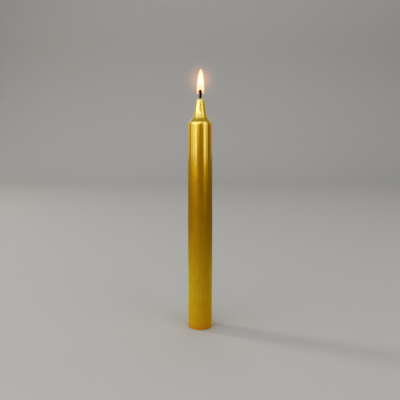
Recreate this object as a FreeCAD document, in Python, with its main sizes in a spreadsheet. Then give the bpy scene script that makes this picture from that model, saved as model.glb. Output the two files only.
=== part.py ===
import FreeCAD, Part
import math
import os
import Sketcher

# Taper candle: a turned wax body, a braided cotton wick through its whole length, and the flame.
# Z is the candle's axis. The origin is the middle of the foot's flat underside.

PARTS_FOLDER = "parts"

# Driving sizes in millimetres: name, value, what it sets
SIZES = (
    ("foot_diameter", 22.0, "straight foot, the bore of a common candle holder"),
    ("seat_length", 25.0, "length of the straight foot that stands in a holder"),
    ("foot_rounding", 0.8, "rounded lower edge of the foot"),
    ("shoulder_diameter", 20.7, "body at the shoulder, where the taper ends"),
    ("shoulder_height", 183.2, "from the underside to the shoulder's corner, before it is rounded"),
    ("shoulder_rounding", 4.0, "rounded edge of the shoulder"),
    ("flare_radius", 14.0, "hollow curve that runs from the shoulder into the neck"),
    ("head_height", 20.0, "from the shoulder's corner to the top of the wax"),
    ("neck_root_diameter", 13.2, "neck, carried down straight to the height of the shoulder"),
    ("neck_top_diameter", 6.4, "neck, carried up straight to the top of the wax"),
    ("nose_rounding", 2.8, "rounded top of the neck round the wick"),
    ("wick_width", 1.9, "braid, the wide way"),
    ("wick_thickness", 1.6, "braid, the thin way, in which it curls"),
    ("wick_straight", 4.0, "bare wick that still stands upright"),
    ("wick_bend_length", 3.0, "burnt end of the wick that curls over"),
    ("wick_bend_radius", 8.0, "curl of the burnt end"),
    ("ply_diameter", 0.9, "each of the three plies of the braid"),
    ("braid_pitch", 3.6, "length in which a ply swings across the braid and back"),
    ("grip_ratio", 0.9, "share of its free size that the braid keeps where the wax grips it"),
    ("spread_ratio", 1.6, "how many times wider the loosened braid is at its burnt tip"),
    ("flame_gap", 3.4, "from the top of the wax to the flame's lower rim"),
    ("flame_rim", 0.4, "width of that rim"),
    ("flame_diameter", 6.8, "flame at its belly"),
    ("flame_belly", 4.3, "from the rim up to the belly"),
    ("flame_rise", 16.6, "from the belly up to the tip"),
    ("flame_clearance", 0.3, "unlit gap between the wick and the flame"),
)

# The braid's plies, and how closely its cross-sections are drawn
PLIES = 3
SECTIONS_PER_PITCH = 10
POINTS_PER_SECTION = 18

# Straight steps that the flame's outline is drawn in, below and above its belly, and how full it is above
FLAME_LOW_STEPS = 3
FLAME_HIGH_STEPS = 8
FLAME_FULLNESS = 1.8

doc = FreeCAD.newDocument("taper_candle")


def make_sheet():
    """Spreadsheet with one row for each driving size."""
    table = doc.addObject("Spreadsheet::Sheet", "sizes")
    for row, (alias, value, note) in enumerate(SIZES, start=1):
        table.set("A%d" % row, alias)
        table.set("B%d" % row, str(value))
        table.set("C%d" % row, note)
        table.setAlias("B%d" % row, alias)
    doc.recompute()
    return table


sheet = make_sheet()


def size(alias):
    """Current value of a driving size."""
    return float(getattr(sheet, alias))


def value_of(rule):
    """Number that an expression on the sheet gives."""
    return float(sheet.evalExpression(rule))


def new_sketch(body, name, plane_role):
    """Empty sketch on one of the body's own origin planes."""
    sketch = body.newObject("Sketcher::SketchObject", name)
    planes = [feature for feature in body.Origin.OriginFeatures if feature.Role == plane_role]
    sketch.AttachmentSupport = (planes[0], [""])
    sketch.MapMode = "FlatFace"
    return sketch


def drive(sketch, name, constraint, rule):
    """Adds a named dimension to a sketch and ties it to the sheet by an expression."""
    index = sketch.addConstraint(constraint)
    sketch.renameConstraint(index, name)
    sketch.setExpression("Constraints." + name, rule)


def drive_radius(sketch, name, geometry, point, rule):
    """Driven distance of a point from the sketch's vertical axis."""
    drive(sketch, name, Sketcher.Constraint("DistanceX", -1, 1, geometry, point, value_of(rule)), rule)


def drive_height(sketch, name, geometry, point, rule):
    """Driven height of a point above the sketch's origin."""
    drive(sketch, name, Sketcher.Constraint("DistanceY", -1, 1, geometry, point, value_of(rule)), rule)


def round_ring(body, name, height, rule):
    """Fillet on the body's outer ring edge at a height."""
    doc.recompute()
    base = body.Tip
    rings = []
    for number, edge in enumerate(base.Shape.Edges, start=1):
        if isinstance(edge.Curve, Part.Circle):
            rings.append((abs(edge.Curve.Center.z - height), "Edge%d" % number))
    fillet = body.newObject("PartDesign::Fillet", name)
    fillet.Base = (base, [min(rings)[1]])
    fillet.setExpression("Radius", rule)
    return fillet


def flare_centre(corner, top, root, radius):
    """Middle of the arc that starts at the shoulder's corner and ends tangent to the neck's flank."""
    flank = (top - root).normalize()
    outward = FreeCAD.Vector(flank.y, -flank.x, 0)
    start = top + outward * radius
    # Along the line that keeps the radius from the flank, the upper point that far from the corner
    offset = start - corner
    half_b = offset.dot(flank)
    rest = offset.dot(offset) - radius * radius
    return start + flank * (math.sqrt(half_b * half_b - rest) - half_b), outward


def draw_wax_profile(body):
    """Half-section of the wax: straight foot, long taper, hollow flare and slim neck."""
    sketch = new_sketch(body, "wax_profile", "XZ_Plane")
    foot = size("foot_diameter") / 2
    shoulder = FreeCAD.Vector(size("shoulder_diameter") / 2, size("shoulder_height"), 0)
    top_height = size("shoulder_height") + size("head_height")
    neck_top = FreeCAD.Vector(size("neck_top_diameter") / 2, top_height, 0)
    neck_root = FreeCAD.Vector(size("neck_root_diameter") / 2, size("shoulder_height"), 0)
    centre, outward = flare_centre(shoulder, neck_top, neck_root, size("flare_radius"))
    neck_start = centre - outward * size("flare_radius")

    axis_foot = FreeCAD.Vector(0, 0, 0)
    foot_edge = FreeCAD.Vector(foot, 0, 0)
    seat_top = FreeCAD.Vector(foot, size("seat_length"), 0)
    axis_top = FreeCAD.Vector(0, top_height, 0)
    from_corner = shoulder - centre
    from_neck = neck_start - centre
    flare_circle = Part.Circle(centre, FreeCAD.Vector(0, 0, 1), size("flare_radius"))
    start_angle = math.atan2(from_neck.y, from_neck.x) % (2 * math.pi)
    end_angle = math.atan2(from_corner.y, from_corner.x) % (2 * math.pi)

    underside = sketch.addGeometry(Part.LineSegment(axis_foot, foot_edge), False)
    seat = sketch.addGeometry(Part.LineSegment(foot_edge, seat_top), False)
    taper = sketch.addGeometry(Part.LineSegment(seat_top, shoulder), False)
    flare = sketch.addGeometry(Part.ArcOfCircle(flare_circle, start_angle, end_angle), False)
    neck = sketch.addGeometry(Part.LineSegment(neck_start, neck_top), False)
    top = sketch.addGeometry(Part.LineSegment(neck_top, axis_top), False)
    axis = sketch.addGeometry(Part.LineSegment(axis_top, axis_foot), False)
    root = sketch.addGeometry(Part.Point(neck_root), True)

    start, end = 1, 2
    origin = (-1, 1)
    for first, second in ((underside, seat), (seat, taper), (neck, top), (top, axis)):
        sketch.addConstraint(Sketcher.Constraint("Coincident", first, end, second, start))
    sketch.addConstraint(Sketcher.Constraint("Coincident", underside, start, *origin))
    sketch.addConstraint(Sketcher.Constraint("Coincident", axis, end, underside, start))
    sketch.addConstraint(Sketcher.Constraint("Coincident", taper, end, flare, end))
    sketch.addConstraint(Sketcher.Constraint("Tangent", flare, start, neck, start))
    sketch.addConstraint(Sketcher.Constraint("Horizontal", underside))
    sketch.addConstraint(Sketcher.Constraint("Vertical", seat))
    sketch.addConstraint(Sketcher.Constraint("Horizontal", top))
    sketch.addConstraint(Sketcher.Constraint("Vertical", axis))
    sketch.addConstraint(Sketcher.Constraint("PointOnObject", root, start, neck))

    drive_radius(sketch, "foot_radius", underside, end, "sizes.foot_diameter / 2")
    drive_height(sketch, "seat_top", seat, end, "sizes.seat_length")
    drive_radius(sketch, "shoulder_radius", taper, end, "sizes.shoulder_diameter / 2")
    drive_height(sketch, "shoulder_corner", taper, end, "sizes.shoulder_height")
    drive_radius(sketch, "neck_top_radius", neck, end, "sizes.neck_top_diameter / 2")
    drive_height(sketch, "wax_top", neck, end, "sizes.shoulder_height + sizes.head_height")
    drive_radius(sketch, "neck_root_radius", root, start, "sizes.neck_root_diameter / 2")
    drive_height(sketch, "neck_root_height", root, start, "sizes.shoulder_height")
    drive(sketch, "flare", Sketcher.Constraint("Radius", flare, size("flare_radius")), "sizes.flare_radius")
    return sketch


def draw_wick_section(body, name):
    """Section of the flat braid as the wax grips it: straight flanks with round ends, wide along Y."""
    sketch = new_sketch(body, name, "XY_Plane")
    radius = size("wick_thickness") / 2
    half_flank = (size("wick_width") - size("wick_thickness")) / 2
    normal = FreeCAD.Vector(0, 0, 1)
    rear_middle = FreeCAD.Vector(0, half_flank, 0)
    front_middle = FreeCAD.Vector(0, -half_flank, 0)
    right = FreeCAD.Vector(radius, 0, 0)

    rear = sketch.addGeometry(Part.ArcOfCircle(Part.Circle(rear_middle, normal, radius), 0, math.pi), False)
    left_flank = sketch.addGeometry(Part.LineSegment(rear_middle - right, front_middle - right), False)
    front = sketch.addGeometry(
        Part.ArcOfCircle(Part.Circle(front_middle, normal, radius), math.pi, 2 * math.pi), False)
    right_flank = sketch.addGeometry(Part.LineSegment(front_middle + right, rear_middle + right), False)

    start, end, middle = 1, 2, 3
    sketch.addConstraint(Sketcher.Constraint("Tangent", rear, end, left_flank, start))
    sketch.addConstraint(Sketcher.Constraint("Tangent", left_flank, end, front, start))
    sketch.addConstraint(Sketcher.Constraint("Tangent", front, end, right_flank, start))
    sketch.addConstraint(Sketcher.Constraint("Tangent", right_flank, end, rear, start))
    sketch.addConstraint(Sketcher.Constraint("Symmetric", rear, middle, front, middle, -1, 1))
    sketch.addConstraint(Sketcher.Constraint("PointOnObject", rear, middle, -2))
    drive(sketch, "end_radius", Sketcher.Constraint("Radius", rear, radius), "sizes.wick_thickness / 2")
    drive(sketch, "flank", Sketcher.Constraint("Distance", left_flank, 2 * half_flank),
          "sizes.wick_width - sizes.wick_thickness")
    return sketch


def make_wax_body():
    """Pressed and lacquered wax, with the hole that the wick fills from end to end."""
    body = doc.addObject("PartDesign::Body", "wax_body")
    body.Label = "wax_body"
    profile = draw_wax_profile(body)
    turned = body.newObject("PartDesign::Revolution", "turned_wax")
    turned.Profile = profile
    turned.ReferenceAxis = (profile, ["V_Axis"])
    turned.Angle = 360
    profile.Visibility = False

    round_ring(body, "rounded_foot", 0.0, "sizes.foot_rounding")
    round_ring(body, "rounded_shoulder", size("shoulder_height"), "sizes.shoulder_rounding")
    round_ring(body, "rounded_nose", size("shoulder_height") + size("head_height"),
               "min(sizes.nose_rounding; 0.95 * sizes.neck_top_diameter / 2)")
    doc.recompute()
    solid_volume = body.Shape.Volume

    bore = body.newObject("PartDesign::Pocket", "wick_hole")
    bore.Profile = draw_wick_section(body, "wick_hole_section")
    bore.Type = "ThroughAll"
    bore.Reversed = True
    doc.recompute()
    section = bore.Profile[0].Shape
    expected = Part.Face(Part.Wire(section.Edges)).Area * (size("shoulder_height") + size("head_height"))
    removed = solid_volume - body.Shape.Volume
    print("wick hole: %.2f mm3 cut, %.2f mm3 expected" % (removed, expected))
    if abs(removed - expected) > 0.01 * expected:
        raise RuntimeError("the wick's hole doesn't run through the wax")
    return body


def wick_frame(length):
    """Middle of the bare wick at a length above the wax, and the turn of its cross-section to -X."""
    turn = max(length - size("wick_straight"), 0.0) / size("wick_bend_radius")
    lean = size("wick_bend_radius") * (1 - math.cos(turn))
    rise = min(length, size("wick_straight")) + size("wick_bend_radius") * math.sin(turn)
    middle = FreeCAD.Vector(-lean, 0, size("shoulder_height") + size("head_height") + rise)
    return middle, turn


def braid_scale(length):
    """Size of the braid's cross-section: squeezed by the wax, free above it, loosened at the burnt tip."""
    grip_end = size("ply_diameter")
    freed = min(max(length / grip_end, 0.0), 1.0)
    burnt = max(length - size("wick_straight"), 0.0) / size("wick_bend_length")
    squeeze = size("grip_ratio")
    return (squeeze + (1 - squeeze) * freed) * (1 + (size("spread_ratio") - 1) * burnt)


def braid_reach(length, direction):
    """Distance from the braid's middle to its outer surface, in a direction of the cross-section."""
    ply_radius = size("ply_diameter") / 2
    swing_through = size("wick_thickness") / 2 - ply_radius
    swing_across = size("wick_width") / 2 - ply_radius
    reach = ply_radius / 2
    for number in range(PLIES):
        # Each ply swings across the braid once a pitch, and through its thickness twice
        angle = 2 * math.pi * (length / size("braid_pitch") + number / PLIES)
        through = swing_through * math.sin(2 * angle)
        across = swing_across * math.sin(angle)
        along = through * math.cos(direction) + across * math.sin(direction)
        rest = ply_radius ** 2 - through ** 2 - across ** 2 + along ** 2
        if rest > 0:
            reach = max(reach, along + math.sqrt(rest))
    return reach * braid_scale(length)


def draw_braid_section(name, length, share):
    """Closed outline of the braid at a length, drawn at a share of its size."""
    middle, turn = wick_frame(length)
    points = []
    for step in range(POINTS_PER_SECTION):
        direction = 2 * math.pi * step / POINTS_PER_SECTION
        reach = share * braid_reach(length, direction)
        through = reach * math.cos(direction)
        across = reach * math.sin(direction)
        points.append(middle + FreeCAD.Vector(through * math.cos(turn), across, through * math.sin(turn)))
    section = doc.addObject("Part::Feature", name)
    section.Shape = Part.makePolygon(points + points[:1])
    return section


def make_braid():
    """Bare braid above the wax, lofted through its cross-sections, with a rounded burnt tip."""
    step = size("braid_pitch") / SECTIONS_PER_PITCH
    first = -size("ply_diameter")
    tip = size("wick_straight") + size("wick_bend_length")
    steps = int(round((tip - first) / step))
    lengths = [first + (tip - first) * number / steps for number in range(steps + 1)]
    tip_depth = size("ply_diameter")
    sections = []
    for number, length in enumerate(lengths):
        # Near the tip the outline closes in, as the end of an ellipse does
        past = max(length - (tip - tip_depth), 0.0) / (1.1 * tip_depth)
        share = math.sqrt(1 - past ** 2)
        sections.append(draw_braid_section("braid_section_%02d" % number, length, share))
    braid = doc.addObject("Part::Loft", "braid_in_air")
    braid.Sections = sections
    braid.Solid = True
    braid.Ruled = True
    return braid


def make_wick():
    """Cotton wick: a plain flat rod where the wax grips it, an open braid of three plies above."""
    rod = doc.addObject("PartDesign::Body", "wick_in_wax")
    pad = rod.newObject("PartDesign::Pad", "wick_rod")
    pad.Profile = draw_wick_section(rod, "wick_section")
    pad.setExpression("Length", "sizes.shoulder_height + sizes.head_height")
    wick = doc.addObject("Part::MultiFuse", "wick")
    wick.Label = "wick"
    wick.Shapes = [rod, make_braid()]
    return wick


def flame_corners():
    """Corners of the flame's half-section, as expressions for the radius and the height of each.

    They run from the lower rim outwards, up to the tip, and back down the hollow that clears the wick.
    """
    curl = "(sizes.wick_bend_length / sizes.wick_bend_radius * 1 rad)"
    lean = "sizes.wick_bend_radius * (1 - cos%s)" % curl
    burnt_reach = "%s + sizes.wick_thickness / 2 * sizes.spread_ratio" % lean
    burnt_width = "sizes.wick_width / 2 * sizes.spread_ratio"
    wax_top = "(sizes.shoulder_height + sizes.head_height)"
    wick_top = "(%s + sizes.wick_straight + sizes.wick_bend_radius * sin%s)" % (wax_top, curl)
    hollow = "(max(%s; %s) + sizes.flame_clearance)" % (burnt_reach, burnt_width)
    rim = "(%s + sizes.flame_rim)" % hollow
    rim_height = "(%s + sizes.flame_gap)" % wax_top
    belly = "sizes.flame_diameter / 2"
    belly_height = "(%s + sizes.flame_belly)" % rim_height

    corners = [(hollow, rim_height), (rim, rim_height)]
    for step in range(1, FLAME_LOW_STEPS + 1):
        # A quarter of an ellipse, from the rim out to the belly
        angle = math.pi / 2 * step / FLAME_LOW_STEPS
        outward = math.sin(angle)
        radius = "%s + (%s - %s) * %.4f" % (rim, belly, rim, outward)
        corners.append((radius, "%s - sizes.flame_belly * %.4f" % (belly_height, math.cos(angle))))
    for step in range(1, FLAME_HIGH_STEPS + 1):
        # From the belly to the tip, close to a quarter of an ellipse but a little slimmer
        rise = math.sin(math.pi / 2 * step / FLAME_HIGH_STEPS)
        share = math.sqrt(1 - rise ** FLAME_FULLNESS)
        corners.append(("%s * %.4f" % (belly, share), "%s + sizes.flame_rise * %.4f" % (belly_height, rise)))
    corners.append(("0", "%s + %s" % (wick_top, hollow)))
    corners.append((hollow, wick_top))
    return corners


def draw_flame_profile(body):
    """Half-section of the flame. Its hollow ends in a cone over the wick."""
    sketch = new_sketch(body, "flame_profile", "XZ_Plane")
    corners = flame_corners()
    points = [FreeCAD.Vector(value_of(radius), value_of(height), 0) for radius, height in corners]
    start, end = 1, 2
    for first, second in zip(points, points[1:] + points[:1]):
        sketch.addGeometry(Part.LineSegment(first, second), False)
    for line in range(len(points)):
        sketch.addConstraint(Sketcher.Constraint("Coincident", line, end, (line + 1) % len(points), start))
    for line, (radius, height) in enumerate(corners):
        if points[line].x > 0:
            drive_radius(sketch, "radius_%d" % line, line, start, radius)
        else:
            sketch.addConstraint(Sketcher.Constraint("PointOnObject", line, start, -2))
        drive_height(sketch, "height_%d" % line, line, start, height)
    return sketch


def make_flame():
    """Flame, turned from its half-section, hollow below where the gas round the wick isn't lit."""
    flame = doc.addObject("PartDesign::Body", "flame")
    flame.Label = "flame"
    profile = draw_flame_profile(flame)
    turned = flame.newObject("PartDesign::Revolution", "turned_flame")
    turned.Profile = profile
    turned.ReferenceAxis = (profile, ["V_Axis"])
    turned.Angle = 360
    profile.Visibility = False
    return flame


def write_parts(nodes):
    """Stops on any failed feature or bad solid, and otherwise writes each node to its own file."""
    doc.recompute()
    for item in doc.Objects:
        if "Invalid" in item.State or "Error" in item.State:
            raise RuntimeError("%s failed: %s" % (item.Name, item.State))
    os.makedirs(PARTS_FOLDER, exist_ok=True)
    for node in nodes:
        shape = node.Shape
        if shape.isNull() or not shape.isValid() or len(shape.Solids) != 1:
            raise RuntimeError("%s isn't one valid solid" % node.Label)
        box = shape.optimalBoundingBox(False)
        print("%-9s %9.2f mm3  x %.2f..%.2f  y %.2f..%.2f  z %.2f..%.2f" % (
            node.Label, shape.Volume, box.XMin, box.XMax, box.YMin, box.YMax, box.ZMin, box.ZMax))
    for node in nodes:
        node.Shape.exportStep(os.path.join(PARTS_FOLDER, node.Label + ".step"))


write_parts([make_wax_body(), make_wick(), make_flame()])
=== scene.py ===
import math

import bpy
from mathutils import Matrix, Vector, noise


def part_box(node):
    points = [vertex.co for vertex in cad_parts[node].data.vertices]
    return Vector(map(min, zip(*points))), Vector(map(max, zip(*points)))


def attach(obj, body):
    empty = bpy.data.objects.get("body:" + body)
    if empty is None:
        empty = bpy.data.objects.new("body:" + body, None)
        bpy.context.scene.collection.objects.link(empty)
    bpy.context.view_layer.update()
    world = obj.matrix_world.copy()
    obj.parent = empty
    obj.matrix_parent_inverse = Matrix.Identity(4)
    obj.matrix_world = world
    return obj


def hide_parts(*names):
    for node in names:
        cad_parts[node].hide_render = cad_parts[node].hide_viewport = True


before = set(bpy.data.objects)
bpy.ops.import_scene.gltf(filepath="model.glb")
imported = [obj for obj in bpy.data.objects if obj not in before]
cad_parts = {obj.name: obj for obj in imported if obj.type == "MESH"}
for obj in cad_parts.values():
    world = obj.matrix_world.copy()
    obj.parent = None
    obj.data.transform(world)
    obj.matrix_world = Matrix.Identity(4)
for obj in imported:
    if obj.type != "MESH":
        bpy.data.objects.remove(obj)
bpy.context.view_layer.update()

# WAX BODY
# One rod of paraffin wax, drawn to a slow taper, its head milled to a slim neck that a wick
# stands in. It was dipped in gold lacquer, which pooled a little at the foot and has melted off
# the tip round the wick. The deeper orange at the foot is that pooled lacquer together with a
# painted warm reflection.

MM = 0.001

wax_low, wax_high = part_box("wax_body")
WAX_TOP = wax_high.z
FOOT_RADIUS = wax_high.x
FOOT_ROUNDING = 0.8 * MM
SEAT_LENGTH = 25.0 * MM
SHOULDER_RADIUS = 10.35 * MM
SHOULDER_HEIGHT = 183.2 * MM
SHOULDER_ROUNDING = 4.0 * MM
FLARE_RADIUS = 14.0 * MM
NECK_ROOT_RADIUS = 6.6 * MM
NECK_TOP_RADIUS = 3.2 * MM
NOSE_ROUNDING = 2.8 * MM
WICK_HALF_WIDTH = 0.95 * MM
WICK_HALF_THICKNESS = 0.8 * MM

# A wax rod is never quite true: its side waves in and out by a few hundredths of a millimetre
FORM_WAVE = 0.035 * MM
FORM_WAVE_LENGTH = 28 * MM
COLLAR_RISE = 0.08 * MM

ROW_STEP = 1.5 * MM
ARC_STEP = math.radians(7.5)
WAX_SEGMENTS = 192
UNDERSIDE_RINGS = (0.0, 0.35, 0.7)
COLLAR_RINGS = (0.25, 0.5, 0.75, 1.0)


def srgb(hex_colour):
    """Linear RGBA of an sRGB hex colour."""
    channels = [int(hex_colour[i:i + 2], 16) / 255 for i in (1, 3, 5)]
    return [c / 12.92 if c <= 0.04045 else ((c + 0.055) / 1.055) ** 2.4 for c in channels] + [1.0]


def add_node(tree, kind, inputs=(), **settings):
    """One node with its settings; each input takes a plain value or the socket that drives it."""
    node = tree.nodes.new(kind)
    for name, value in settings.items():
        setattr(node, name, value)
    for socket, value in dict(inputs).items():
        if isinstance(value, bpy.types.NodeSocket):
            tree.links.new(value, node.inputs[socket])
        else:
            node.inputs[socket].default_value = value
    return node


def new_material(name):
    """Empty material and its node tree."""
    material = bpy.data.materials.new(name)
    material.use_nodes = True
    material.node_tree.nodes.clear()
    return material, material.node_tree


def new_piece(name, vertices, faces, material):
    """Smooth mesh object of the scene, with its place in its mesh."""
    mesh = bpy.data.meshes.new(name)
    mesh.from_pydata(vertices, [], faces)
    mesh.polygons.foreach_set("use_smooth", [True] * len(mesh.polygons))
    mesh.materials.append(material)
    mesh.update()
    piece = bpy.data.objects.new(name, mesh)
    bpy.context.scene.collection.objects.link(piece)
    return piece


def ring_faces(low, high, count):
    """Faces between two rings of vertices, which start at these two numbers and turn the same way."""
    pairs = [(i, (i + 1) % count) for i in range(count)]
    return [(low + i, low + j, high + j, high + i) for i, j in pairs]


def point_at_distance(start, direction, centre, distance, near):
    """Of a line's two points at a distance from a centre, the one nearer to another point."""
    offset = start - centre
    half_b = offset.dot(direction)
    root = math.sqrt(half_b ** 2 - offset.dot(offset) + distance ** 2)
    found = [start + direction * (sign * root - half_b) for sign in (1, -1)]
    return min(found, key=lambda point: (point - near).length)


def arc(centre, radius, first, last):
    """Points of an arc from one angle to another, in steps of about ARC_STEP."""
    steps = max(int(abs(last - first) / ARC_STEP), 2)
    angles = [first + (last - first) * i / steps for i in range(steps + 1)]
    return [centre + radius * Vector((math.cos(a), math.sin(a))) for a in angles]


def line(first, last):
    """Points of a straight stretch, without its ends, in steps of about ROW_STEP."""
    steps = max(int((last - first).length / ROW_STEP), 1)
    return [first.lerp(last, i / steps) for i in range(1, steps)]


def wax_outline():
    """Half-section of the wax from its underside's edge to its nose, as radius and height."""
    seat_top = Vector((FOOT_RADIUS, SEAT_LENGTH))
    corner = Vector((SHOULDER_RADIUS, SHOULDER_HEIGHT))
    neck_top = Vector((NECK_TOP_RADIUS, WAX_TOP))
    flank = (neck_top - Vector((NECK_ROOT_RADIUS, SHOULDER_HEIGHT))).normalized()
    flank_out = Vector((flank.y, -flank.x))
    above = corner + Vector((0, FLARE_RADIUS))
    flare = point_at_distance(neck_top + flank_out * FLARE_RADIUS, flank, corner, FLARE_RADIUS, above)
    taper = (corner - seat_top).normalized()
    taper_out = Vector((taper.y, -taper.x))
    shoulder = point_at_distance(corner - taper_out * SHOULDER_ROUNDING, taper,
                                 flare, FLARE_RADIUS + SHOULDER_ROUNDING, corner)
    nose_height = WAX_TOP - NOSE_ROUNDING
    inner = neck_top - flank_out * NOSE_ROUNDING
    nose = inner + flank * ((nose_height - inner.y) / flank.y)

    foot = Vector((FOOT_RADIUS - FOOT_ROUNDING, FOOT_ROUNDING))
    foot_arc = arc(foot, FOOT_ROUNDING, -math.pi / 2, 0)
    to_flare = flare - shoulder
    shoulder_arc = arc(shoulder, SHOULDER_ROUNDING, math.atan2(taper_out.y, taper_out.x),
                       math.atan2(to_flare.y, to_flare.x))
    flare_arc = arc(flare, FLARE_RADIUS, math.atan2(-to_flare.y, -to_flare.x),
                    math.atan2(-flank_out.y, -flank_out.x))
    nose_arc = arc(nose, NOSE_ROUNDING, math.atan2(flank_out.y, flank_out.x), math.pi / 2)
    outline = foot_arc + line(foot_arc[-1], seat_top) + [seat_top]
    outline += line(seat_top, shoulder_arc[0]) + shoulder_arc + flare_arc[1:]
    return outline + line(flare_arc[-1], nose_arc[0]) + nose_arc


def wick_hole_radius(angle):
    """Radius of the wick's hole, which has straight flanks and round ends and is wide along Y."""
    flank = WICK_HALF_WIDTH - WICK_HALF_THICKNESS
    across = abs(math.sin(angle))
    on_flank = WICK_HALF_THICKNESS / max(abs(math.cos(angle)), 1e-9)
    if on_flank * across <= flank:
        return on_flank
    along = flank * across
    return along + math.sqrt(along ** 2 + WICK_HALF_THICKNESS ** 2 - flank ** 2)


def wax_mesh():
    """Rings of the turned wax from the underside round the outside and down the wick's hole."""
    outline = wax_outline()
    foot = outline[0]
    nose = outline[-1]
    vertices = []
    rows = []

    def add_row(radius_at, height):
        rows.append(len(vertices))
        for i in range(WAX_SEGMENTS):
            angle = 2 * math.pi * i / WAX_SEGMENTS
            radius = radius_at(angle)
            vertices.append((radius * math.cos(angle), radius * math.sin(angle), height))

    def from_hole(radius, share):
        """Ring that lies a share of the way from the wick's hole to a radius."""
        return lambda a: wick_hole_radius(a) + share * (radius - wick_hole_radius(a))

    def waved(point):
        """Ring through a point of the outline, with the waves that begin above the foot."""
        wave = FORM_WAVE * min(point.y / SEAT_LENGTH, 1.0)

        def radius_at(angle):
            place = Vector((point.x * math.cos(angle), point.x * math.sin(angle), point.y))
            return point.x + wave * noise.noise(place / FORM_WAVE_LENGTH)
        return radius_at

    for share in UNDERSIDE_RINGS:
        add_row(from_hole(foot.x, share), 0.0)
    for point in outline:
        add_row(waved(point), point.y)
    # Molten wax creeps up the wick in a thin collar
    for share in COLLAR_RINGS:
        add_row(from_hole(nose.x, 1 - share), WAX_TOP + COLLAR_RISE * share ** 2)
    # The hole's wall ends at the ring that the underside began with
    rows.append(rows[0])
    faces = []
    for low, high in zip(rows, rows[1:]):
        faces += ring_faces(low, high, WAX_SEGMENTS)
    return vertices, faces


# Metallic lacquer, dipped: bronze-coloured flakes in a clear binder under a thin gloss. It gives the
# eye soft tall highlights, a deep orange in the shade, a fine sparkle and faint runs down the body
gold_lacquer, tree = new_material("dipped_gold_lacquer_on_wax")
GOLD_DEEP = "#E0B214"
GOLD_LIGHT = "#ECBE22"
# Colour at the foot: pooled lacquer, deeper and more orange, and partly a painted warm reflection
POOLED_GOLD_AND_PAINTED_REFLECTION = "#EAA60C"
MOLTEN_WAX = "#CDBE78"
SOOT = "#2A1E10"
# Real flakes are about 0.03 mm across, too fine to show, so these are drawn eight times as coarse
FLAKE_SIZE = 0.25 * MM
FLAKE_RELIEF = 0.004 * MM
RUN_WIDTH = 1.2 * MM
RUN_LENGTH = 45 * MM
RUN_RELIEF = 0.03 * MM
CLOUD_SIZE = 9 * MM
CLOUD_DEEPEST = 0.15
CLOUD_LIGHTEST = 0.4
FOOT_TINT_HEIGHT = 2.0 * MM
MELTED_HEIGHT = 1.6 * MM
EDGE_GRAIN = 1.5 * MM
EDGE_RAGGEDNESS = 1.2 * MM
SOOT_REACH = 2.5 * MM
SATIN_LOW = 0.17
SATIN_HIGH = 0.27
MELTED_ROUGHNESS = 0.16
MELTED_METALLIC = 0.25
PEARL_ROUGHNESS = 0.12
PEARL_IOR = 2.4

place = add_node(tree, "ShaderNodeTexCoord").outputs["Object"]
height = add_node(tree, "ShaderNodeSeparateXYZ", {0: place}).outputs["Z"]

# The lacquer's own colour: lighter and deeper clouds, broken by the runs
stretch = add_node(tree, "ShaderNodeMapping",
                   {"Vector": place, "Scale": (1.0, 1.0, RUN_WIDTH / RUN_LENGTH)})
runs = add_node(tree, "ShaderNodeTexNoise",
                {"Vector": stretch.outputs[0], "Scale": 1 / RUN_WIDTH, "Detail": 3.0, "Roughness": 0.5})
clouds = add_node(tree, "ShaderNodeTexNoise",
                  {"Vector": place, "Scale": 1 / CLOUD_SIZE, "Detail": 4.0})
tone = add_node(tree, "ShaderNodeMath",
                {0: clouds.outputs[0], 1: runs.outputs[0]}, operation="MULTIPLY")
lightness = add_node(tree, "ShaderNodeMapRange",
                     {"Value": tone.outputs[0], "From Min": CLOUD_DEEPEST,
                      "From Max": CLOUD_LIGHTEST}).outputs[0]
gold = add_node(tree, "ShaderNodeMix",
                {0: lightness, 6: srgb(GOLD_DEEP), 7: srgb(GOLD_LIGHT)}, data_type="RGBA")
# Towards the foot the gold turns deeper orange: lacquer pooled there, and a painted warm reflection with
# it
pooled_and_reflected = add_node(tree, "ShaderNodeMapRange",
                  {"Value": height, "From Min": 3.5 * FOOT_TINT_HEIGHT, "From Max": 0.5 * FOOT_TINT_HEIGHT},
                  interpolation_type="SMOOTHSTEP").outputs[0]
gold_and_foot_tint = add_node(tree, "ShaderNodeMix",
                 {0: pooled_and_reflected, 6: gold.outputs[2], 7: srgb(POOLED_GOLD_AND_PAINTED_REFLECTION)}, data_type="RGBA")

# Where the flame has melted the lacquer off, with a ragged edge, there is bare wax, sooty by the wick
ragged = add_node(tree, "ShaderNodeTexNoise",
                  {"Vector": place, "Scale": 1 / EDGE_GRAIN, "Detail": 2.0})
edge = add_node(tree, "ShaderNodeMath",
                {0: ragged.outputs[0], 1: -EDGE_RAGGEDNESS, 2: height}, operation="MULTIPLY_ADD")
melted = add_node(tree, "ShaderNodeMapRange",
                  {"Value": edge.outputs[0], "From Min": WAX_TOP - 2.2 * MELTED_HEIGHT,
                   "From Max": WAX_TOP - 0.9 * MELTED_HEIGHT}, interpolation_type="SMOOTHSTEP").outputs[0]
coats_and_wax = add_node(tree, "ShaderNodeMix",
                         {0: melted, 6: gold_and_foot_tint.outputs[2], 7: srgb(MOLTEN_WAX)}, data_type="RGBA")
flat_place = add_node(tree, "ShaderNodeVectorMath",
                      {0: place, 1: (1.0, 1.0, 0.0)}, operation="MULTIPLY")
from_axis = add_node(tree, "ShaderNodeVectorMath", {0: flat_place.outputs[0]}, operation="LENGTH")
near_wick = add_node(tree, "ShaderNodeMapRange",
                     {"Value": from_axis.outputs["Value"], "From Min": SOOT_REACH,
                      "From Max": 0.6 * SOOT_REACH}, interpolation_type="SMOOTHSTEP").outputs[0]
sooty = add_node(tree, "ShaderNodeMath", {0: near_wick, 1: melted}, operation="MULTIPLY").outputs[0]
colour = add_node(tree, "ShaderNodeMix",
                  {0: sooty, 6: coats_and_wax.outputs[2], 7: srgb(SOOT)}, data_type="RGBA")

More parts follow.
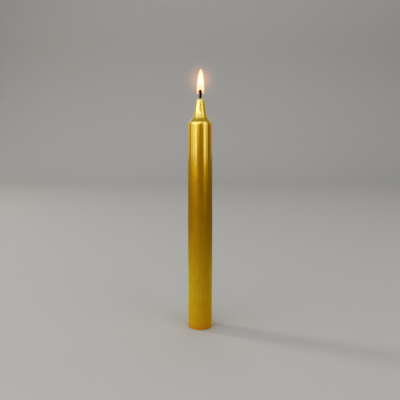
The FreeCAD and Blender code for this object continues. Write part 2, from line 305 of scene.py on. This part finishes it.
# Each flake lies at its own depth and is a little smoother or rougher than the next
flakes = add_node(tree, "ShaderNodeTexVoronoi", {"Vector": place, "Scale": 1 / FLAKE_SIZE})
flake_tone = add_node(tree, "ShaderNodeSeparateColor", {0: flakes.outputs["Color"]}).outputs[0]
satin = add_node(tree, "ShaderNodeMapRange",
                 {"Value": flake_tone, "To Min": SATIN_LOW, "To Max": SATIN_HIGH}).outputs[0]
roughness = add_node(tree, "ShaderNodeMix", {0: melted, 2: satin, 3: MELTED_ROUGHNESS}).outputs[0]
metallic = add_node(tree, "ShaderNodeMapRange",
                    {"Value": melted, "To Min": 1.0, "To Max": MELTED_METALLIC}).outputs[0]
flake_bump = add_node(tree, "ShaderNodeBump",
                      {"Height": flake_tone, "Distance": FLAKE_RELIEF, "Strength": 0.6})
run_bump = add_node(tree, "ShaderNodeBump",
                    {"Height": runs.outputs[0], "Distance": RUN_RELIEF, "Strength": 0.5,
                     "Normal": flake_bump.outputs[0]})
# The gloss on top holds pearl pigment, so it mirrors more than plain varnish: hence its high IOR
shader = add_node(tree, "ShaderNodeBsdfPrincipled",
                  {"Base Color": colour.outputs[2], "Metallic": metallic, "Roughness": roughness,
                   "Normal": run_bump.outputs[0], "Coat Weight": 1.0,
                   "Coat Roughness": PEARL_ROUGHNESS, "Coat IOR": PEARL_IOR})
add_node(tree, "ShaderNodeOutputMaterial", {"Surface": shader.outputs[0]})

wax = new_piece("gold_wax_body", *wax_mesh(), gold_lacquer)
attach(wax, "root")
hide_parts("wax_body")

# WICK
# Cotton yarns braided in three plies. The rod is the wick where the wax grips it, cut off flush at
# the foot. The bare end above the wax is burnt black, has curled over and come loose at its tip.

WICK_STRAIGHT = 4.0 * MM
WICK_BEND_LENGTH = 3.0 * MM
WICK_BEND_RADIUS = 8.0 * MM
WICK_LEAN = 0.35 * MM
WICK_LENGTH = WICK_STRAIGHT + WICK_BEND_LENGTH
PLIES = 3
PLY_RADIUS = 0.5 * MM
PLY_START_DEPTH = 1.2 * MM
PLY_STEPS = 60
BRAID_PITCH = 3.6 * MM
# The braid's width against the wick's: in the wax's grip, free of it, and how it opens to the tip
BRAID_GRIP = 0.9
BRAID_FREE = 1.6
BRAID_SPREAD = 1.9
TIP_SWELLING = 1.3
YARNS = 7
YARN_RADIUS = 0.17 * MM
YARN_LAY = 5.0 * MM
YARN_SIDES = 8
BURNT_OFF = 0.09
BURN_SEED = 7
ROD_SEGMENTS = 32
ROD_ROWS = 8

# Charred cotton, braided: matt carbon over scorched brown fibres, so it drinks the light and only
# its ridges show, with a dull brown glow where the tip stands in the flame
charred_cotton, tree = new_material("charred_braided_cotton")
CARBON = "#020101"
SCORCHED = "#0B0502"
EMBER = "#5A2406"
EMBER_GLOW = 0.05
EMBER_REACH = 1.8 * MM
# A cotton fibre is 0.02 mm thick, too fine to show, so the mottling is as coarse as tufts of fibres
TUFT_SIZE = 0.2 * MM
TUFT_RELIEF = 0.05 * MM
place = add_node(tree, "ShaderNodeTexCoord").outputs["Object"]
tufts = add_node(tree, "ShaderNodeTexNoise",
                 {"Vector": place, "Scale": 1 / TUFT_SIZE, "Detail": 4.0}).outputs[0]
scorch = add_node(tree, "ShaderNodeMix",
                  {0: tufts, 6: srgb(CARBON), 7: srgb(SCORCHED)}, data_type="RGBA")
height = add_node(tree, "ShaderNodeSeparateXYZ", {0: place}).outputs["Z"]
ember = add_node(tree, "ShaderNodeMapRange",
                 {"Value": height, "From Min": WAX_TOP + WICK_LENGTH - EMBER_REACH,
                  "From Max": WAX_TOP + WICK_LENGTH}, interpolation_type="SMOOTHSTEP").outputs[0]
glow = add_node(tree, "ShaderNodeMath", {0: ember, 1: EMBER_GLOW}, operation="MULTIPLY").outputs[0]
bump = add_node(tree, "ShaderNodeBump", {"Height": tufts, "Distance": TUFT_RELIEF, "Strength": 0.8})
shader = add_node(tree, "ShaderNodeBsdfPrincipled",
                  {"Base Color": scorch.outputs[2], "Roughness": 0.95, "Specular IOR Level": 0.1,
                   "Normal": bump.outputs[0], "Emission Color": srgb(EMBER), "Emission Strength": glow})
add_node(tree, "ShaderNodeOutputMaterial", {"Surface": shader.outputs[0]})

# Waxed cotton, cut: off-white yarn ends soaked with paraffin, slightly glossy and warm
waxed_cotton, tree = new_material("waxed_cotton_yarn")
COTTON_LIGHT = "#E9E2CE"
COTTON_PAINTED_SHADE = "#B9AE92"
YARN_END_SIZE = 0.3 * MM
YARN_END_RELIEF = 0.08 * MM
place = add_node(tree, "ShaderNodeTexCoord").outputs["Object"]
yarn_ends = add_node(tree, "ShaderNodeTexVoronoi", {"Vector": place, "Scale": 1 / YARN_END_SIZE})
# Each yarn end is lighter in its middle and darker towards its rim: painted shade between the ends
cotton = add_node(tree, "ShaderNodeMix",
                  {0: yarn_ends.outputs["Distance"], 6: srgb(COTTON_LIGHT), 7: srgb(COTTON_PAINTED_SHADE)},
                  data_type="RGBA")
bump = add_node(tree, "ShaderNodeBump",
                {"Height": yarn_ends.outputs["Distance"], "Distance": YARN_END_RELIEF, "Strength": 0.7})
shader = add_node(tree, "ShaderNodeBsdfPrincipled",
                  {"Base Color": cotton.outputs[2], "Roughness": 0.45, "Normal": bump.outputs[0]})
add_node(tree, "ShaderNodeOutputMaterial", {"Surface": shader.outputs[0]})


def rod_mesh():
    """Closed rod that fills the wick's hole from the foot to the nose."""
    vertices = []
    for row in range(ROD_ROWS + 1):
        for i in range(ROD_SEGMENTS):
            angle = 2 * math.pi * i / ROD_SEGMENTS
            radius = wick_hole_radius(angle)
            z = wax_low.z + (WAX_TOP - wax_low.z) * row / ROD_ROWS
            vertices.append((radius * math.cos(angle), radius * math.sin(angle), z))
    faces = []
    for row in range(ROD_ROWS):
        faces += ring_faces(row * ROD_SEGMENTS, (row + 1) * ROD_SEGMENTS, ROD_SEGMENTS)
    faces.append(tuple(reversed(range(ROD_SEGMENTS))))
    faces.append(tuple(range(len(vertices) - ROD_SEGMENTS, len(vertices))))
    return vertices, faces


def ply_point(length, phase):
    """Point of a ply's middle line, which swings across the braid once a pitch and through it twice."""
    past = max(length - WICK_STRAIGHT, 0.0)
    turn = past / WICK_BEND_RADIUS
    freed = min(max(length / (2 * PLY_RADIUS), 0.0), 1.0)
    scale = BRAID_GRIP + (BRAID_FREE - BRAID_GRIP) * freed
    scale *= 1 + (BRAID_SPREAD - 1) * (past / WICK_BEND_LENGTH) ** 1.5
    angle = 2 * math.pi * length / BRAID_PITCH + phase
    through = scale * (WICK_HALF_THICKNESS - PLY_RADIUS) * math.sin(2 * angle)
    across = scale * (WICK_HALF_WIDTH - PLY_RADIUS) * math.sin(angle)
    leaning = WICK_LEAN * min(max(length / WICK_STRAIGHT, 0.0), 1.0)
    return Vector((
        leaning + through * math.cos(turn) - WICK_BEND_RADIUS * (1 - math.cos(turn)),
        across,
        WAX_TOP + min(length, WICK_STRAIGHT) + (WICK_BEND_RADIUS + through) * math.sin(turn)))


def ply_curves():
    """The three ply paths as one curve object, whose point radius is the braid's swelling."""
    curves = bpy.data.curves.new("braid_plies", "CURVE")
    curves.dimensions = "3D"
    for number in range(PLIES):
        spline = curves.splines.new("POLY")
        spline.points.add(PLY_STEPS - 1)
        for i, point in enumerate(spline.points):
            along = -PLY_START_DEPTH + (WICK_LENGTH + PLY_START_DEPTH) * i / (PLY_STEPS - 1)
            swollen = max(along - WICK_STRAIGHT, 0.0) / WICK_BEND_LENGTH
            point.co = (*ply_point(along, 2 * math.pi * number / PLIES), 1.0)
            point.radius = 1 + TIP_SWELLING * swollen ** 2
    piece = bpy.data.objects.new("charred_wick", curves)
    bpy.context.scene.collection.objects.link(piece)
    return piece


def yarn_tree():
    """Geometry nodes that lay yarns round each ply's path and sweep them to tubes."""
    tree = bpy.data.node_groups.new("twisted_yarns", "GeometryNodeTree")
    tree.interface.new_socket("Geometry", in_out="INPUT", socket_type="NodeSocketGeometry")
    given_kinds = {"Yarns": "NodeSocketInt", "Ply Radius": "NodeSocketFloat",
                   "Yarn Radius": "NodeSocketFloat", "Yarn Sides": "NodeSocketInt",
                   "Lay": "NodeSocketFloat", "Burnt Off": "NodeSocketFloat",
                   "Material": "NodeSocketMaterial"}
    for name, kind in given_kinds.items():
        tree.interface.new_socket(name, in_out="INPUT", socket_type=kind)
    tree.interface.new_socket("Geometry", in_out="OUTPUT", socket_type="NodeSocketGeometry")
    given = add_node(tree, "NodeGroupInput").outputs

    # Each copy of a ply's path starts at its own place round the ply and turns once a lay
    copies = add_node(tree, "GeometryNodeDuplicateElements",
                      {"Geometry": given["Geometry"], "Amount": given["Yarns"]}, domain="SPLINE")
    share = add_node(tree, "ShaderNodeMath",
                     {0: copies.outputs["Duplicate Index"], 1: given["Yarns"]}, operation="DIVIDE")
    along = add_node(tree, "GeometryNodeSplineParameter").outputs["Length"]
    laid = add_node(tree, "ShaderNodeMath", {0: along, 1: given["Lay"]}, operation="DIVIDE")
    turns = add_node(tree, "ShaderNodeMath",
                     {0: share.outputs[0], 1: laid.outputs[0]}, operation="ADD")
    angle = add_node(tree, "ShaderNodeMath",
                     {0: turns.outputs[0], 1: 2 * math.pi}, operation="MULTIPLY")
    cosine = add_node(tree, "ShaderNodeMath", {0: angle.outputs[0]}, operation="COSINE")
    sine = add_node(tree, "ShaderNodeMath", {0: angle.outputs[0]}, operation="SINE")
    normal = add_node(tree, "GeometryNodeInputNormal").outputs[0]
    tangent = add_node(tree, "GeometryNodeInputTangent").outputs[0]
    side = add_node(tree, "ShaderNodeVectorMath", {0: tangent, 1: normal}, operation="CROSS_PRODUCT")
    first = add_node(tree, "ShaderNodeVectorMath",
                     {0: normal, "Scale": cosine.outputs[0]}, operation="SCALE")
    second = add_node(tree, "ShaderNodeVectorMath",
                      {0: side.outputs[0], "Scale": sine.outputs[0]}, operation="SCALE")
    around = add_node(tree, "ShaderNodeVectorMath",
                      {0: first.outputs[0], 1: second.outputs[0]}, operation="ADD")
    swollen = add_node(tree, "GeometryNodeInputRadius").outputs[0]
    inset = add_node(tree, "ShaderNodeMath",
                     {0: given["Ply Radius"], 1: given["Yarn Radius"]}, operation="SUBTRACT")
    reach = add_node(tree, "ShaderNodeMath", {0: inset.outputs[0], 1: swollen}, operation="MULTIPLY")
    offset = add_node(tree, "ShaderNodeVectorMath",
                      {0: around.outputs[0], "Scale": reach.outputs[0]}, operation="SCALE")
    moved = add_node(tree, "GeometryNodeSetPosition",
                     {"Geometry": copies.outputs["Geometry"], "Offset": offset.outputs[0]})

    # Each yarn is burnt off at a length of its own
    burnt = add_node(tree, "FunctionNodeRandomValue", {"Max": given["Burnt Off"], "Seed": BURN_SEED})
    kept = add_node(tree, "ShaderNodeMath", {0: 1.0, 1: burnt.outputs[1]}, operation="SUBTRACT")
    trimmed = add_node(tree, "GeometryNodeTrimCurve", {"Curve": moved.outputs[0]})
    tree.links.new(kept.outputs[0], trimmed.inputs["End"])
    ring = add_node(tree, "GeometryNodeCurvePrimitiveCircle",
                    {"Resolution": given["Yarn Sides"], "Radius": given["Yarn Radius"]})
    tubes = add_node(tree, "GeometryNodeCurveToMesh",
                     {"Curve": trimmed.outputs[0], "Profile Curve": ring.outputs[0], "Fill Caps": True})
    smooth = add_node(tree, "GeometryNodeSetShadeSmooth", {0: tubes.outputs[0]})
    real = add_node(tree, "GeometryNodeRealizeInstances", {0: smooth.outputs[0]})
    finished = add_node(tree, "GeometryNodeSetMaterial",
                        {0: real.outputs[0], "Material": given["Material"]})
    add_node(tree, "NodeGroupOutput", {0: finished.outputs[0]})
    return tree


def grown(piece, tree, values):
    """The piece after a geometry tree has run on it with these inputs, as a plain mesh object."""
    modifier = piece.modifiers.new("grow", "NODES")
    modifier.node_group = tree
    for item in tree.interface.items_tree:
        if item.item_type == "SOCKET" and item.in_out == "INPUT" and item.name in values:
            modifier[item.identifier] = values[item.name]
    bpy.context.view_layer.update()
    evaluated = piece.evaluated_get(bpy.context.evaluated_depsgraph_get())
    mesh = bpy.data.meshes.new_from_object(evaluated)
    name = piece.name
    bpy.data.objects.remove(piece)
    result = bpy.data.objects.new(name, mesh)
    mesh.name = name
    bpy.context.scene.collection.objects.link(result)
    return result


rod = new_piece("waxed_wick_rod", *rod_mesh(), waxed_cotton)
rod.data.polygons.foreach_set("use_smooth", [False] * len(rod.data.polygons))
wick = grown(ply_curves(), yarn_tree(), {
    "Yarns": YARNS, "Ply Radius": PLY_RADIUS, "Yarn Radius": YARN_RADIUS, "Yarn Sides": YARN_SIDES,
    "Lay": YARN_LAY, "Burnt Off": BURNT_OFF, "Material": charred_cotton})
for piece in (rod, wick):
    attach(piece, "root")
    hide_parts("wick")

# FLAME
# Burning wax vapour, not a solid: a slim drop of yellow-white light that starts clear of the wax,
# forks round the burnt head of the wick and ends in a point. Nested skins of light stand for it,
# clear outside and dense inside.

flame_low, flame_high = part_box("flame")
FLAME_RADIUS = flame_high.x
FLAME_FOOT = flame_low.z
FLAME_TIP = flame_high.z
FLAME_BELLY = FLAME_FOOT + 4.3 * MM
FLAME_RIM_RADIUS = 2.54 * MM
FLAME_HOLLOW_RADIUS = 2.14 * MM
FLAME_HOLLOW_TOP = WAX_TOP + 9.07 * MM
FLAME_FULLNESS = 1.8
FLAME_LEAN_LOW = 0.05 * MM
FLAME_LEAN_HIGH = 0.55 * MM
RIM_TO_DOME = 0.5 * MM
FLAME_SEGMENTS = 64
FLAME_ROWS = 36
HOLLOW_ROWS = 10

# Each skin's name, width against the whole flame, lowest and highest part of its rim, and tip;
# then its colour, light and density
FLAME_SKINS = (
    ("flame_veil", 1.0, FLAME_FOOT, WAX_TOP + 6.6 * MM, FLAME_TIP,
     "#FF8C46", 1.2, 0.12),
    ("flame_mantle", 0.93, FLAME_FOOT + 0.2 * MM, WAX_TOP + 7.0 * MM, FLAME_TIP - 0.2 * MM,
     "#FFD6A8", 1.5, 0.4),
    ("flame_heart", 0.80, FLAME_FOOT + 2.8 * MM, WAX_TOP + 7.6 * MM, FLAME_TIP - 1.2 * MM,
     "#FFD49C", 2.3, 0.6),
    ("flame_core", 0.62, WAX_TOP + 11.0 * MM, WAX_TOP + 11.8 * MM, FLAME_TIP - 3.5 * MM,
     "#FFEFC4", 7.0, 0.9),
)


def flame_reach(height):
    """Radius of the whole flame at a height: a round bowl below its belly, a long drop above."""
    if height < FLAME_BELLY:
        share = min(max((FLAME_BELLY - height) / (FLAME_BELLY - FLAME_FOOT), 0.0), 1.0)
        return FLAME_RIM_RADIUS + (FLAME_RADIUS - FLAME_RIM_RADIUS) * math.sqrt(1 - share ** 2)
    share = min((height - FLAME_BELLY) / (FLAME_TIP - FLAME_BELLY), 1.0)
    return FLAME_RADIUS * math.sqrt(1 - share ** FLAME_FULLNESS)


def flame_lean(height):
    """Sideways drift of the flame's middle, which a draught draws over a little at the tip."""
    share = (height - FLAME_FOOT) / (FLAME_TIP - FLAME_FOOT)
    return FLAME_LEAN_LOW + (FLAME_LEAN_HIGH - FLAME_LEAN_LOW) * share


def flame_skin_mesh(width, low_rim, high_rim, tip):
    """Closed drop, hollow below, whose rim is low at the sides and high in front and behind."""
    squeeze = (FLAME_TIP - FLAME_BELLY) / (tip - FLAME_BELLY)
    dome_top = max(FLAME_HOLLOW_TOP, high_rim + RIM_TO_DOME)
    vertices = []

    def add_ring(height_over, radius_at):
        for i in range(FLAME_SEGMENTS):
            angle = 2 * math.pi * i / FLAME_SEGMENTS
            height = height_over(low_rim + (high_rim - low_rim) * math.sin(angle) ** 2)
            radius = width * radius_at(height)
            vertices.append((radius * math.cos(angle) + flame_lean(height), radius * math.sin(angle),
                             height))

    def skin_reach(height):
        """Radius of the whole flame where it is as full as this shorter skin is here."""
        above_belly = max(height - FLAME_BELLY, 0.0)
        return flame_reach(min(height, FLAME_BELLY) + above_belly * squeeze)

    for row in range(FLAME_ROWS):
        up = math.sin(math.pi / 2 * row / FLAME_ROWS)
        add_ring(lambda rim: rim + (tip - rim) * up, skin_reach)
    for row in range(HOLLOW_ROWS):
        dome = math.pi / 2 * (row / HOLLOW_ROWS)
        add_ring(lambda rim: rim + (dome_top - rim) * math.sin(dome),
                 lambda height: FLAME_HOLLOW_RADIUS * math.cos(dome))
    tip_point = len(vertices)
    dome_point = tip_point + 1
    vertices.append((flame_lean(tip), 0.0, tip))
    vertices.append((flame_lean(dome_top), 0.0, dome_top))

    # Rings from the tip down the outside to the rim, and from the rim up the hollow
    outside = [row * FLAME_SEGMENTS for row in range(FLAME_ROWS)]
    hollow = [(FLAME_ROWS + row) * FLAME_SEGMENTS for row in range(HOLLOW_ROWS)]
    rings = outside[::-1] + hollow
    faces = []
    for ring, next_ring in zip(rings, rings[1:]):
        faces += ring_faces(next_ring, ring, FLAME_SEGMENTS)
    for i in range(FLAME_SEGMENTS):
        j = (i + 1) % FLAME_SEGMENTS
        faces.append((outside[-1] + i, outside[-1] + j, tip_point))
        faces.append((hollow[-1] + j, hollow[-1] + i, dome_point))
    return vertices, faces


def burning_vapour(name, colour, strength, density):
    """Glowing soot in a gas: light with no surface of its own, so it has neither shine nor shade."""
    material, tree = new_material(name)
    shader = add_node(tree, "ShaderNodeBsdfPrincipled",
                      {"Base Color": (0, 0, 0, 1), "Roughness": 1.0, "Specular IOR Level": 0.0,
                       "Emission Color": srgb(colour), "Emission Strength": strength, "Alpha": density})
    add_node(tree, "ShaderNodeOutputMaterial", {"Surface": shader.outputs[0]})
    return material


for name, width, low_rim, high_rim, tip, light, strength, density in FLAME_SKINS:
    vapour = burning_vapour("burning_vapour_of_" + name, light, strength, density)
    skin = new_piece(name, *flame_skin_mesh(width, low_rim, high_rim, tip), vapour)
    skin.visible_shadow = False
    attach(skin, "root")
    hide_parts("flame")

# STUDIO
# A sweep of pale matt paper for floor and wall, a bank of soft boxes that draws the upright bands on
# the lacquer, a low light from the left that lays the shadow to the right, the room, and the camera
# with its lens and film.

FLOOR_HALF = 2.2
WALL_AT = 1.6
WALL_HEIGHT = 2.2
SWEEP_RADIUS = 0.5
SWEEP_STEPS = 12

# Pale matt paper: an even surface with hardly any shine, which gives the eye only soft shadows. Its
# fibres are too fine to show, so its grain is drawn coarser
pale_paper, tree = new_material("pale_matt_paper")
PAPER_DARK = "#ACABA9"
PAPER_LIGHT = "#B5B4B2"
PAPER_GRAIN = 2 * MM
place = add_node(tree, "ShaderNodeTexCoord").outputs["Object"]
grain = add_node(tree, "ShaderNodeTexNoise", {"Vector": place, "Scale": 1 / PAPER_GRAIN, "Detail": 3.0})
paper = add_node(tree, "ShaderNodeMix",
                 {0: grain.outputs[0], 6: srgb(PAPER_DARK), 7: srgb(PAPER_LIGHT)}, data_type="RGBA")
shader = add_node(tree, "ShaderNodeBsdfPrincipled", {"Base Color": paper.outputs[2], "Roughness": 0.85})
add_node(tree, "ShaderNodeOutputMaterial", {"Surface": shader.outputs[0]})

bend = Vector((WALL_AT - SWEEP_RADIUS, SWEEP_RADIUS))
bend_angles = [-math.pi / 2 + math.pi / 2 * i / SWEEP_STEPS for i in range(SWEEP_STEPS + 1)]
sweep_outline = [Vector((-FLOOR_HALF, 0.0))]
sweep_outline += [bend + SWEEP_RADIUS * Vector((math.cos(a), math.sin(a))) for a in bend_angles]
sweep_outline.append(Vector((WALL_AT, WALL_HEIGHT)))
sweep_points = [(x, point.x, point.y) for point in sweep_outline for x in (-FLOOR_HALF, FLOOR_HALF)]
sweep_faces = [(2 * i, 2 * i + 1, 2 * i + 3, 2 * i + 2) for i in range(len(sweep_outline) - 1)]
sweep = new_piece("paper_sweep", sweep_points, sweep_faces, pale_paper)
# The paper isn't mirrored in the lacquer: the tones of the room are
sweep.visible_glossy = False

WHITE = "#FFFFFF"
SHOULDER_MIDDLE = Vector((0, 0, SHOULDER_HEIGHT))


def place_at(azimuth, elevation, distance):
    """Place round the candle's shoulder; azimuth 0 is the camera's side and 90 the right."""
    a = math.radians(azimuth)
    e = math.radians(elevation)
    towards = Vector((math.cos(e) * math.sin(a), -math.cos(e) * math.cos(a), math.sin(e)))
    return SHOULDER_MIDDLE + distance * towards


def soft_box(name, azimuth, elevation, distance, wide, tall, radiance, colour=WHITE, aim=SHOULDER_MIDDLE):
    """Soft box as the shoulder sees it: where it stands, how many degrees wide and tall, how bright."""
    lamp = bpy.data.lights.new(name, "AREA")
    lamp.shape = "RECTANGLE"
    lamp.size = 2 * distance * math.tan(math.radians(wide / 2))
    lamp.size_y = 2 * distance * math.tan(math.radians(tall / 2))
    lamp.energy = radiance * math.pi * lamp.size * lamp.size_y
    lamp.color = srgb(colour)[:3]
    box = bpy.data.objects.new(name, lamp)
    box.location = place_at(azimuth, elevation, distance)
    box.rotation_euler = (aim - box.location).to_track_quat("-Z", "Y").to_euler()
    bpy.context.scene.collection.objects.link(box)
    return box


# Name, azimuth, elevation, distance, width, height, radiance. The strips draw the bands on the front
# of the body, the two wide boxes light its back, and the rest light the shoulder, flare and neck
SOFT_BOXES = (
    ("strip_box_0", -85, 20, 1.2, 22, 50, 0.6),
    ("strip_box_1", -62, 20, 1.2, 22, 50, 0.85),
    ("strip_box_2", -40, 20, 1.2, 22, 50, 1.15),
    ("strip_box_3", -18, 22, 1.2, 20, 45, 0.5),
    ("strip_box_4", 20, 22, 1.2, 20, 45, 0.2),
    ("strip_box_5", 43, 20, 1.2, 22, 50, 1.15),
    ("strip_box_6", 65, 20, 1.2, 22, 50, 0.5),
    ("back_left_box", -142, 14, 1.2, 66, 38, 0.19),
    ("back_right_box", 138, 14, 1.2, 62, 38, 0.16),
    ("front_box", -6, 32, 1.2, 24, 16, 1.9),
    ("front_overhead_box", 2, 56, 1.2, 20, 18, 0.9),
    ("left_overhead_box", -50, 55, 1.2, 44, 18, 0.6),
    ("right_overhead_box", 52, 55, 1.2, 34, 18, 0.5),
    ("neck_box", -60, 20, 1.15, 60, 12, 1.6),
    ("back_box", 180, 68, 1.2, 24, 16, 2.0),
)
# Flags keep these three off the paper
FLAGGED_BOXES = ("back_left_box", "back_right_box", "neck_box")
for name, azimuth, elevation, distance, wide, tall, radiance in SOFT_BOXES:
    box = soft_box(name, azimuth, elevation, distance, wide, tall, radiance)
    box.visible_diffuse = name not in FLAGGED_BOXES

# These two light the paper and don't show in the lacquer: a low one on the left, which lays the
# shadow to the right, and a wash over the wall
SIDE_COLOUR = "#FFF9F0"
low_side = soft_box("low_side_box", -112, 24, 1.6, 9, 9, 40.0, colour=SIDE_COLOUR)
wall_wash = soft_box("wall_wash", 150, 60, 1.7, 50, 14, 2.0, aim=Vector((0.6, WALL_AT, 0.5)))
for box in (low_side, wall_wash):
    box.visible_glossy = False

# The room: an even pale light on floor and wall. What shines in the lacquer is a studio that is cool
# above and warm below, dimmest just under the horizon and lighter on the left. Its tones go by
# elevation in degrees
ROOM_LIGHT = 0.45
LEFT_GAIN = 0.2
ROOM_TONES = ((-75, "#BCB8B0"), (-42, "#BCB4A4"), (-29, "#B09A70"), (-19, "#BCBC8C"),
              (-11, "#8C8060"), (4, "#A69C70"), (30, "#ACB4C4"), (60, "#A6AEA4"))
world = bpy.data.worlds.new("studio_room")
world.use_nodes = True
tree = world.node_tree
tree.nodes.clear()
direction = add_node(tree, "ShaderNodeTexCoord").outputs["Generated"]
towards = add_node(tree, "ShaderNodeSeparateXYZ", {0: direction}).outputs
upwards = add_node(tree, "ShaderNodeMapRange", {"Value": towards["Z"], "From Min": -1.0})
tones = add_node(tree, "ShaderNodeValToRGB", {"Fac": upwards.outputs[0]})
ramp = tones.color_ramp.elements
for _ in ROOM_TONES[2:]:
    ramp.new(0.5)
for element, (elevation, room_tone) in zip(ramp, ROOM_TONES):
    element.position = (1 + math.sin(math.radians(elevation))) / 2
    element.color = srgb(room_tone)
gain = add_node(tree, "ShaderNodeMath",
                {0: towards["X"], 1: -LEFT_GAIN, 2: 1.0}, operation="MULTIPLY_ADD")
shown = add_node(tree, "ShaderNodeBackground", {"Color": tones.outputs[0], "Strength": gain.outputs[0]})
even = add_node(tree, "ShaderNodeBackground", {"Color": srgb(WHITE), "Strength": ROOM_LIGHT})
glossy = add_node(tree, "ShaderNodeLightPath").outputs["Is Glossy Ray"]
room = add_node(tree, "ShaderNodeMixShader", {0: glossy, 1: even.outputs[0], 2: shown.outputs[0]})
add_node(tree, "ShaderNodeOutputWorld", {"Surface": room.outputs[0]})
scene = bpy.context.scene
scene.world = world

# The lens: stray light lays a soft reddish veil round the flame, which alone passes the threshold
FLARE_THRESHOLD = 2.3
VEIL_COLOUR = "#FFB27A"
VEIL_STOPS = 2.8
VEIL_RADIUS = 18
scene.use_nodes = True
lens = scene.node_tree
lens.nodes.clear()
picture = add_node(lens, "CompositorNodeRLayers").outputs["Image"]
glare = add_node(lens, "CompositorNodeGlare",
                 {"Image": picture, "Threshold": FLARE_THRESHOLD}, glare_type="BLOOM")
spread = add_node(lens, "CompositorNodeBlur", {"Image": glare.outputs["Highlights"]},
                  filter_type="FAST_GAUSS", size_x=VEIL_RADIUS, size_y=VEIL_RADIUS)
raised = add_node(lens, "CompositorNodeExposure", {"Image": spread.outputs[0], "Exposure": VEIL_STOPS})
veil = add_node(lens, "CompositorNodeMixRGB",
                {0: 1.0, 1: raised.outputs[0], 2: srgb(VEIL_COLOUR)}, blend_type="MULTIPLY")
veiled = add_node(lens, "CompositorNodeMixRGB",
                  {0: 1.0, 1: picture, 2: veil.outputs[0]}, blend_type="ADD")
add_node(lens, "CompositorNodeComposite", {"Image": veiled.outputs[0]})

# The film: light against print, with deep shadows and a soft shoulder, and less blue in the shadows
FILM_WHITE = 2.0
FILM_CURVE = ((0.025, 0.018), (0.05, 0.05), (0.1, 0.145), (0.15, 0.27), (0.2, 0.39), (0.25, 0.5),
              (0.35, 0.68), (0.5, 0.85), (0.7, 0.95))
BLUE_CURVE = ((0.02, 0.005), (0.05, 0.04), (0.1, 0.1), (0.15, 0.15), (0.3, 0.3), (0.6, 0.6))
BLUE_CHANNEL = 2
ALL_CHANNELS = 3
view = scene.view_settings
view.view_transform = "Standard"
view.use_curve_mapping = True
view.curve_mapping.white_level = (FILM_WHITE, FILM_WHITE, FILM_WHITE)
for channel, curve in ((ALL_CHANNELS, FILM_CURVE), (BLUE_CHANNEL, BLUE_CURVE)):
    for light, print_tone in curve:
        view.curve_mapping.curves[channel].points.new(light, print_tone)
view.curve_mapping.update()

# The camera stands about as high as the shoulder and looks down a little, as in the photograph
CAMERA_FOCAL = 43.2
CAMERA_DISTANCE = 0.416
CAMERA_ASIDE = -0.17 * MM
CAMERA_HEIGHT = 0.179
CAMERA_PITCH = math.radians(8.64)
CAMERA_NEAREST = 0.01
camera_data = bpy.data.cameras.new("camera")
camera_data.lens = CAMERA_FOCAL
camera_data.clip_start = CAMERA_NEAREST
camera = bpy.data.objects.new("camera", camera_data)
camera.location = (CAMERA_ASIDE, -CAMERA_DISTANCE, CAMERA_HEIGHT)
camera.rotation_euler = (math.pi / 2 - CAMERA_PITCH, 0, 0)
scene.collection.objects.link(camera)
scene.camera = camera
